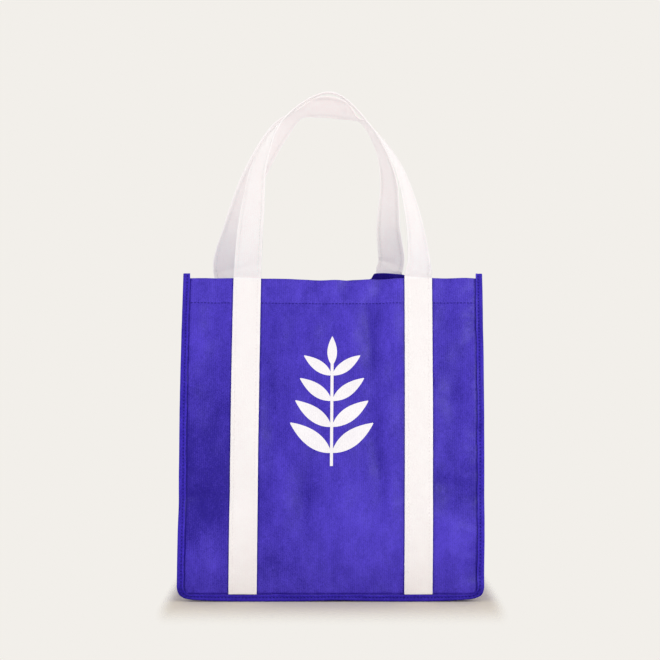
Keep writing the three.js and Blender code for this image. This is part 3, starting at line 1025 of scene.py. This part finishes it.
# %% Straps
BEND_PLACE = 11 * MM
BEND_REACH = 4 * MM
BEND = 0.7 * MM
FREE_WAVE = 0.5 * MM
ROUND_EDGE = 0.55 * MM


def along_line(run, stops, rows):
    """Rows of three values between their stops."""
    return np.stack([np.interp(run, stops, rows[:, axis]) for axis in range(3)], axis=-1)


def unit(vectors):
    return vectors / np.linalg.norm(vectors, axis=-1, keepdims=True)


def strap_place(panel, loop):
    """place(across, along) for a strap, across from its outer to its inner edge, and its length."""
    middle, width_way = handle_line(panel, loop)
    travelled = np.concatenate([[0], np.cumsum(np.linalg.norm(np.diff(middle, axis=0), axis=1))])
    loop_run = travelled[-1]
    length = 2 * LEG_RUN + loop_run
    length_way = np.gradient(middle, axis=0)

    def place(across, along, lift=0.0):
        left_leg = along < LEG_RUN
        right_leg = along > length - LEG_RUN
        side = np.where(left_leg, -1, 1)
        up = LEG_START + np.minimum(np.where(left_leg, along, length - along), LEG_RUN)
        sewn = on_panel(panel, side * (LEG - across), up, STRAP_MIDDLE + lift)
        on_loop = np.clip(along - LEG_RUN, 0, loop_run)
        width = unit(along_line(on_loop, travelled, width_way))
        face = unit(np.cross(width, along_line(on_loop, travelled, length_way)))
        nearest_end = np.minimum(on_loop, loop_run - on_loop)
        bend = bell((nearest_end - BEND_PLACE - 0.2 * across) / BEND_REACH)
        wave = np.sin(on_loop / (13 * MM)) * across / STRAP_WIDTH
        off = lift + BEND * bend + FREE_WAVE * wave * np.clip(nearest_end / (30 * MM), 0, 1)
        line = along_line(on_loop, travelled, middle)
        free = line + width * across[..., None] + face * off[..., None]
        return np.where((left_leg | right_leg)[..., None], sewn, free)

    return place, float(length)


def strap_piece(name, panel, loop, node_name):
    place, length = strap_place(panel, loop)
    columns = even(-STRAP_WIDTH / 2, STRAP_WIDTH / 2, 18)
    close_rows = LEG_RUN + even(0, 30, 20) * MM
    rows = np.unique(np.concatenate([even(0, length, 420), close_rows]).round(5))
    piece = cut_cloth(name, columns, rows, place)
    thicken(piece, STRAP_THICKNESS, rounding=ROUND_EDGE)
    belongs(piece, WHITE_STRAP, "strap_cloth", node_name)
    piece.data.materials.append(SHADE_TINTED_HANDLE)
    cut = piece.data.uv_layers["flat_cut"].data
    for face in piece.data.polygons:
        middle = sum(cut[corner].uv[1] for corner in face.loop_indices) / face.loop_total
        face.material_index = int(LEG_RUN < middle < length - LEG_RUN)
    print(name, "is", round(length, 3), "m long")
    return piece, place, (STRAP_WIDTH, length)


front_strap, front_strap_place, front_strap_size = strap_piece(
    "front_handle_strap", FRONT, FRONT_LOOP, "front_strap"
)
back_strap, back_strap_place, back_strap_size = strap_piece(
    "back_handle_strap", BACK, BACK_LOOP, "back_strap"
)

# %% [markdown]
# ## The print
# A screen print is a thin film of ink in the cloth, so the bond dots still show through it. The sprig is
# drawn on the flat panel: each leaf is a grid between two curved edges. Every point is then put on the
# dented panel in the way that the cloth was, and the leaves and the stem are joined as one film.

# %% Printed sprig
SPRIG_HEIGHT = 104 * MM
SPRIG_MIDDLE = 186 * MM
STEM_WIDTH = 3 * MM
LEAF_PAIRS = 4
LEAF_LENGTH = 52 * MM
LEAF_TAPER = 0.88
LEAF_SLIMNESS = 0.31
LEAF_ANGLE = math.radians(36)
LEAF_BELLY = 0.4
INK = 0.08 * MM
INK_LAYER = CLOTH + 0.1 * MM
WHITE_INK = bonded_material(
    "white_print_ink", linear(233, 228, 233), linear(248, 245, 247), roughness=0.62, specular=0.3, sheen=0
)


def ink_film(name, columns, rows, drawn):
    """A film of ink on the front panel: drawn(across, along) gives flat places on the panel."""

    def place(across, along):
        return on_panel(FRONT, *drawn(across, along), INK_LAYER)

    film = cut_cloth(name, columns, rows, place, drawn)
    thicken(film, INK)
    return film


def leaf(length, angle, height):
    def drawn(share, travel):
        reach = length * (2 * travel * (1 - travel) * LEAF_BELLY + travel**2)
        side = length * LEAF_SLIMNESS * 2 * travel * (1 - travel) * share
        across = reach * math.cos(angle) - side * math.sin(angle)
        return across, height + reach * math.sin(angle) + side * math.cos(angle)

    start = STEM_WIDTH / 2 / (2 * LEAF_BELLY * length)
    return ink_film("leaf", even(-1, 1, 8), even(start, 0.985, 22), drawn)


def stem():
    lowest = SPRIG_MIDDLE - SPRIG_HEIGHT / 2
    columns = even(-STEM_WIDTH / 2, STEM_WIDTH / 2, 3)
    return ink_film("stem", columns, even(lowest, lowest + SPRIG_HEIGHT, 60), as_cut)


sprig_top = SPRIG_MIDDLE + SPRIG_HEIGHT / 2 - STEM_WIDTH
films = [stem(), leaf(LEAF_LENGTH * LEAF_TAPER**LEAF_PAIRS, math.pi / 2, sprig_top)]
for pair in range(LEAF_PAIRS):
    level = SPRIG_MIDDLE + SPRIG_HEIGHT * ((pair + 0.5) / LEAF_PAIRS - 0.5)
    for angle in (LEAF_ANGLE, math.pi - LEAF_ANGLE):
        films.append(leaf(LEAF_LENGTH * LEAF_TAPER**pair, angle, level))
bpy.ops.object.select_all(action="DESELECT")
for film in films:
    film.select_set(True)
bpy.context.view_layer.objects.active = films[0]
bpy.ops.object.join()
sprig = films[0]
sprig.name = "sprig_print"
sprig.data.name = "sprig_print"
belongs(sprig, WHITE_INK, "print_ink", "front_print")
print("sprig of", len(films), "films of ink")

# %% [markdown]
# ## Thread
# Lockstitch shows as a row of short humps of twisted thread that dive into the cloth at both ends. One
# hump is modelled from a sphere with few faces, because it is repeated thousands of times. It is then
# copied along each seam, bent over the cloth, and all copies of a seam become one mesh.

# %% One stitch
def stitch_mould():
    """Points, faces and UVs of one stitch along z, from -1 to 1, and one thick."""
    bpy.ops.object.select_all(action="DESELECT")
    bpy.ops.mesh.primitive_uv_sphere_add(segments=6, ring_count=4, radius=1)
    mould = bpy.context.object
    mesh = mould.data
    points = np.array([vertex.co for vertex in mesh.vertices])
    blunt = np.where(np.abs(points[:, 2]) < 0.9, 1.2, 1)
    points[:, :2] *= blunt[:, None]
    faces = [list(face.vertices) for face in mesh.polygons]
    turns = np.array([corner.uv for corner in mesh.uv_layers.active.data])
    bpy.data.objects.remove(mould)
    return points, faces, turns


MOULD_POINTS, MOULD_FACES, MOULD_TURNS = stitch_mould()
print("one stitch has", len(MOULD_FACES), "faces")

# %% [markdown]
# ## Sewing
# A seam needs a path: where a run along it lies, with a lift off the cloth. Each stitch then takes three
# points of the path, where it dives in, its crest and where it dives in again, and bends through them.

# %% Thread and the way it is sewn
THREAD = 0.3 * MM
THICK_THREAD = 0.44 * MM
STITCH_SHARE = 0.6


def thread_material(name, deep, light):
    """Twisted thread: slanting plies, with a painted highlight on their backs."""
    material, tree, shader = new_material(name)
    turn = node(tree, "ShaderNodeUVMap", uv_map="thread_turn").outputs[0]
    plies = node(
        tree,
        "ShaderNodeTexWave",
        {"Vector": turn, "Scale": 1.6, "Distortion": 0.6},
        bands_direction="DIAGONAL",
    )
    colour = mix_colours(tree, plies.outputs["Fac"], deep, light)
    wire_all(tree, shader, {"Base Color": colour, "Roughness": 0.55, "Specular IOR Level": 0.12})
    bumpy(tree, shader, plies.outputs["Fac"], 0.5, 0.1 * MM)
    return material


BLUE_THREAD = thread_material("blue_sewing_thread", linear(16, 5, 100), linear(32, 16, 134))
WHITE_THREAD = thread_material("white_sewing_thread", linear(240, 231, 232), linear(253, 247, 246))


def sew(name, seams, material, slot, thread=THREAD, share=STITCH_SHARE):
    """One mesh of stitches along seams: each is path(way, lift off the cloth) and the ends of its way."""
    bent = []
    for path, first, last in seams:
        starts = first + np.arange(int((last - first) / STITCH_PITCH)) * STITCH_PITCH
        starts = starts + (1 - share) / 2 * STITCH_PITCH
        length = share * STITCH_PITCH
        head = path(starts, -thread)[:, None]
        crest = path(starts + length / 2, thread / 2)[:, None]
        above = path(starts + length / 2, 3 * thread)[:, None]
        tail = path(starts + length, -thread)[:, None]
        upward = unit(above - crest)
        sideways = np.cross(upward, unit(tail - head))
        x, y, z = (MOULD_POINTS[:, axis][None, :, None] for axis in range(3))
        middle = head * z * (z - 1) / 2 + crest * (1 - z**2) + tail * z * (z + 1) / 2
        bent.append(middle + thread * (x * sideways + y * upward))
    bent = np.concatenate(bent)
    count, corners = bent.shape[:2]
    faces = [
        [corner + copy * corners for corner in face]
        for copy in range(count)
        for face in MOULD_FACES
    ]
    mesh = bpy.data.meshes.new(name)
    mesh.from_pydata(bent.reshape(-1, 3), [], faces)
    turns = mesh.uv_layers.new(name="thread_turn")
    turns.data.foreach_set("uv", np.tile(MOULD_TURNS, (count, 1)).ravel())
    piece = bpy.data.objects.new(name, mesh)
    scene.collection.objects.link(piece)
    only(piece)
    bpy.ops.object.shade_smooth()
    belongs(piece, material, slot)
    print(name, "has", count, "stitches")
    return piece

# %% [markdown]
# ## Seams of the hems
# Every seam is a line on a surface that is already there, so its path is one call to that surface's place
# function with a little lift. The hem's seam stops at the straps, which were sewn on over it. Its
# stitches lie close together, so that it reads as one thin line.

# %% Seams of the hems
SEAM_END = BAG_WIDTH / 2 - SEAM_WIDTH - 1 * MM
STRAP_SIDE = STRAP_WIDTH / 2 + 0.5 * MM
HEM_STITCH_SHARE = 0.86


def hem_seam(panel, inside):
    def path(across, lift):
        out = -2 * FOLD + GROOVE - lift if inside else CLOTH - GROOVE + lift
        return on_panel(panel, across, PANEL_HEIGHT - HEM_SEAM, out)

    return path


def hem_stitches(name, panel):
    outside, inside = hem_seam(panel, False), hem_seam(panel, True)
    seams = [
        (outside, -SEAM_END, -LEG - STRAP_SIDE),
        (outside, -LEG + STRAP_SIDE, LEG - STRAP_SIDE),
        (outside, LEG + STRAP_SIDE, SEAM_END),
        (inside, -SEAM_END, SEAM_END),
    ]
    return sew(name, seams, BLUE_THREAD, "body_cloth", share=HEM_STITCH_SHARE)


def gusset_seam(side, inside):
    turn_back = 2 * HEM_SEAM + (math.pi - 2) * FOLD if inside else 0
    way_in = -1 if inside else 1

    def path(width, lift):
        run = np.full_like(width, side * (HALF_RUN - HEM_SEAM + turn_back))
        return gusset_place(width, run, way_in * (CLOTH / 2 + lift))

    return path, -HALF_GUSSET + 2 * MM, HALF_GUSSET - 2 * MM


front_hem = hem_stitches("front_hem_stitches", FRONT)
back_hem = hem_stitches("back_hem_stitches", BACK)
gusset_hems = sew(
    "gusset_hem_stitches",
    [gusset_seam(side, inside) for side in (-1, 1) for inside in (False, True)],
    BLUE_THREAD,
    "body_cloth",
    share=HEM_STITCH_SHARE,
)

# %% [markdown]
# ## Seams of the bindings
# A heavier thread goes through the tape, both cloths and the tape again, so the same row of stitches
# shows on both faces. Their dips are the places where the tape was pulled in before.

# %% Seams of the bindings
TAPE_SEAM_END = math.floor((HALF_RUN + EAR) / STITCH_PITCH) * STITCH_PITCH


def tape_seam(panel, inside):
    way = -1 if panel["behind"] else 1

    def path(run, lift):
        above = lift - seam_pull(run)
        out = INNER_LEG - TAPE / 2 - above if inside else OUTER_LEG + TAPE / 2 + above
        return on_flap(panel, way * run, SEAM_LINE, out)

    return path, -TAPE_SEAM_END, TAPE_SEAM_END


def tape_stitches(name, panel):
    seams = [tape_seam(panel, False), tape_seam(panel, True)]
    return sew(name, seams, BLUE_THREAD, "binding_cloth", THICK_THREAD)


front_tape_thread = tape_stitches("front_tape_stitches", FRONT)
back_tape_thread = tape_stitches("back_tape_stitches", BACK)

# %% [markdown]
# ## Seams of the straps
# Two rows of white stitches run the whole length of each strap. Only the free handle shows them on its
# other face as well, since the legs lie on the panel.

# %% Seams of the straps
STRAP_SEAM = STRAP_WIDTH / 2 - 3.6 * MM


def strap_seam(place, across, face):
    def path(along, lift):
        return place(np.full_like(along, across), along, face * (STRAP_THICKNESS / 2 + lift))

    return path


def strap_stitches(name, place, length):
    seams = []
    free_start = LEG_RUN + 3 * MM
    for across in (-STRAP_SEAM, STRAP_SEAM):
        seams.append((strap_seam(place, across, 1), 2 * MM, length - 2 * MM))
        seams.append((strap_seam(place, across, -1), free_start, length - free_start))
    return sew(name, seams, WHITE_THREAD, "strap_cloth")


front_strap_thread = strap_stitches("front_strap_stitches", front_strap_place, front_strap_size[1])
back_strap_thread = strap_stitches("back_strap_stitches", back_strap_place, back_strap_size[1])

# %% [markdown]
# ## Flat cuts
# Each cloth piece is listed with the flat cut it was sewn from, what holds it, and which stitches and ink
# go with it. Only the size of each cut is printed.

# %% Say what each sheet was cut from
CUTS = [
    (front_panel, panel_size, "hung", ["gusset_strip"], [front_hem, sprig]),
    (back_panel, panel_size, "hung", ["gusset_strip"], [back_hem]),
    (gusset, gusset_size, "folded", ["front_panel", "back_panel"], [gusset_hems]),
    (front_binding, tape_size, "folded", ["front_panel", "gusset_strip"], [front_tape_thread]),
    (back_binding, tape_size, "folded", ["back_panel", "gusset_strip"], [back_tape_thread]),
    (front_strap, front_strap_size, "hung", ["front_panel"], [front_strap_thread]),
    (back_strap, back_strap_size, "hung", ["back_panel"], [back_strap_thread]),
]
for piece, flat_size, held, rests_on, carried in CUTS:
    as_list(rests_on)
    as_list(carried)
    print(piece.name, "cut", [round(size, 3) for size in flat_size], "m")

# %% [markdown]
# ## The base board
# A loose stiff board lies on the bottom inside. Its CAD shape is right as it is, so it stays, and gets
# the finish of a dark board of recycled plastic: a pebbled surface with a few paler flecks.

# %% Material of the base board
board_plastic, tree, shader = new_material("dark_board_plastic")
where = node(tree, "ShaderNodeTexCoord").outputs["Object"]
pebbles = node(tree, "ShaderNodeTexNoise", {"Vector": where, "Scale": 700, "Detail": 3})
flecks = node(tree, "ShaderNodeTexVoronoi", {"Vector": where, "Scale": 160})
fleck_mask = node(
    tree,
    "ShaderNodeMapRange",
    {"Value": flecks.outputs["Distance"], "From Min": 0.16, "From Max": 0.06},
    interpolation_type="SMOOTHSTEP",
)
plain = mix_colours(tree, pebbles.outputs[0], linear(38, 38, 42), linear(66, 66, 72))
flecked = mix_colours(tree, fleck_mask.outputs[0], plain, linear(96, 95, 100))
wire_all(tree, shader, {"Base Color": flecked, "Roughness": 0.5})
bumpy(tree, shader, pebbles.outputs[0], 0.4, 0.15 * MM)
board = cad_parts["base_board"]
for slot_index in range(len(board.material_slots)):
    board.material_slots[slot_index].material = board_plastic
print("base board has", len(board.material_slots), "material slot")

# %% [markdown]
# ## Camera
# The camera stands level in front of the bag, with the long lens of a catalogue picture, so the bag's
# sides hardly lean together.

# %% Camera
FRAME_PIXELS = 660
FOCAL_PIXELS = 1768
SENSOR = 36
CAMERA_DISTANCE = 1.852
CAMERA_HEIGHT = 0.269
CAMERA_SIDE = -0.0017
bpy.ops.object.camera_add(
    location=(CAMERA_SIDE, -CAMERA_DISTANCE, CAMERA_HEIGHT), rotation=(math.radians(90), 0, 0)
)
camera = bpy.context.object
camera.data.sensor_width = SENSOR
camera.data.lens = SENSOR * FOCAL_PIXELS / FRAME_PIXELS
scene.camera = camera
print("lens", round(camera.data.lens, 1), "mm")

# %% [markdown]
# ## Light
# Most light comes evenly from the world, as in a white studio tent, so the white straps stay white all
# round. Two soft lamps add a little from the front and the right, which shows the dents. A third lamp is
# seen only in the cloth's gloss. The camera sees the backdrop's colour in place of the world's light.

# %% Lamps and world
BACKDROP = linear(242, 239, 234)


def lamp(name, place, target, size, power, colour=(1, 1, 1)):
    data = bpy.data.lights.new(name, "AREA")
    data.shape = "DISK"
    data.size = size
    data.energy = power
    data.color = colour
    made = bpy.data.objects.new(name, data)
    scene.collection.objects.link(made)
    made.location = place
    direction = made.location.__class__(target) - made.location
    made.rotation_euler = direction.to_track_quat("-Z", "Y").to_euler()
    return made


def placed(azimuth, elevation, distance):
    """A place round the bag: azimuth in degrees to the right of the camera, elevation above level."""
    turn, rise = math.radians(azimuth), math.radians(elevation)
    level = distance * math.cos(rise)
    return (level * math.sin(turn), -level * math.cos(turn), 0.25 + distance * math.sin(rise))


lamp("key_lamp", placed(36, 14, 1.25), (0, 0, 0.25), 0.4, 1.0, (1, 0.985, 0.97))
lamp("fill_lamp", placed(10, -6, 1.5), (0, 0, 0.35), 0.7, 0.9)
gloss = lamp("gloss_lamp", placed(34, 22, 1.4), (0, 0, 0.25), 0.4, 7)
gloss.visible_diffuse = False
gloss.visible_transmission = False

world = bpy.data.worlds.new("pale_studio")
scene.world = world
world.use_nodes = True
tree = world.node_tree
light = tree.nodes["Background"]
wire_all(tree, light, {"Color": (1, 0.99, 0.98, 1), "Strength": 1.02})
seen = node(tree, "ShaderNodeBackground", {"Color": BACKDROP})
rays = node(tree, "ShaderNodeLightPath").outputs
either = maths(tree, "MAXIMUM", rays["Is Camera Ray"], rays["Is Glossy Ray"])
either = maths(tree, "MAXIMUM", either, rays["Is Transmission Ray"])


def mix_shaders(tree, amount, first, second):
    mixed = node(tree, "ShaderNodeMixShader")
    for socket, value in enumerate((amount, first, second)):
        wire(tree, mixed.inputs[socket], value)
    return mixed.outputs[0]


lit = mix_shaders(tree, either, light.outputs[0], seen.outputs[0])
wire(tree, tree.nodes["World Output"].inputs["Surface"], lit)

# %% [markdown]
# ## Floor
# The floor is only there to hold the bag's shadow. Its paint is also darker than the backdrop, so round the
# bag it is a painted shadow as well. Away from the bag it fades out, so that it has no edge against the
# backdrop, and it fades sooner at the sides than in front and behind.

# %% Floor
SHADOW_FADE_SHARES = (8, 1)
SHADOW_FADE_START = 0.01
SHADOW_FADE_END = 0.15
bpy.ops.object.select_all(action="DESELECT")
bpy.ops.mesh.primitive_plane_add(size=6)
floor = bpy.context.object
floor.name = "pale_floor"
floor_shadow_paint, tree, shader = new_material("floor_painted_shadow")
# The floor's colour is darker than the backdrop: a painted shadow round the bag that fades out with the
# floor.
finish = {"Base Color": linear(218, 210, 194), "Roughness": 0.9, "Specular IOR Level": 0.1}
wire_all(tree, shader, finish)
where = node(tree, "ShaderNodeTexCoord").outputs["Object"]
sides = node(tree, "ShaderNodeSeparateXYZ", {"Vector": where})
apart = node(tree, "ShaderNodeCombineXYZ")
for side, half_size in enumerate((BAG_WIDTH / 2, BAG_DEPTH / 2)):
    outside = maths(tree, "SUBTRACT", maths(tree, "ABSOLUTE", sides.outputs[side], 0), half_size)
    outside = maths(tree, "MULTIPLY", maths(tree, "MAXIMUM", outside, 0), SHADOW_FADE_SHARES[side])
    wire(tree, apart.inputs[side], outside)
far = node(tree, "ShaderNodeVectorMath", operation="LENGTH")
wire(tree, far.inputs[0], apart.outputs[0])
fade = node(
    tree,
    "ShaderNodeMapRange",
    {"Value": far.outputs["Value"], "From Min": SHADOW_FADE_START, "From Max": SHADOW_FADE_END},
    interpolation_type="SMOOTHSTEP",
)
clear = node(tree, "ShaderNodeBsdfTransparent")
faded = mix_shaders(tree, fade.outputs[0], shader.outputs[0], clear.outputs[0])
wire(tree, tree.nodes["Material Output"].inputs["Surface"], faded)
floor.data.materials.append(floor_shadow_paint)
print("the floor is gone", SHADOW_FADE_END, "m in front of the bag")

# %% [markdown]
# ## Finish
# The picture is shown with the Standard view transform.

# %% Finish
scene.view_settings.view_transform = "Standard"
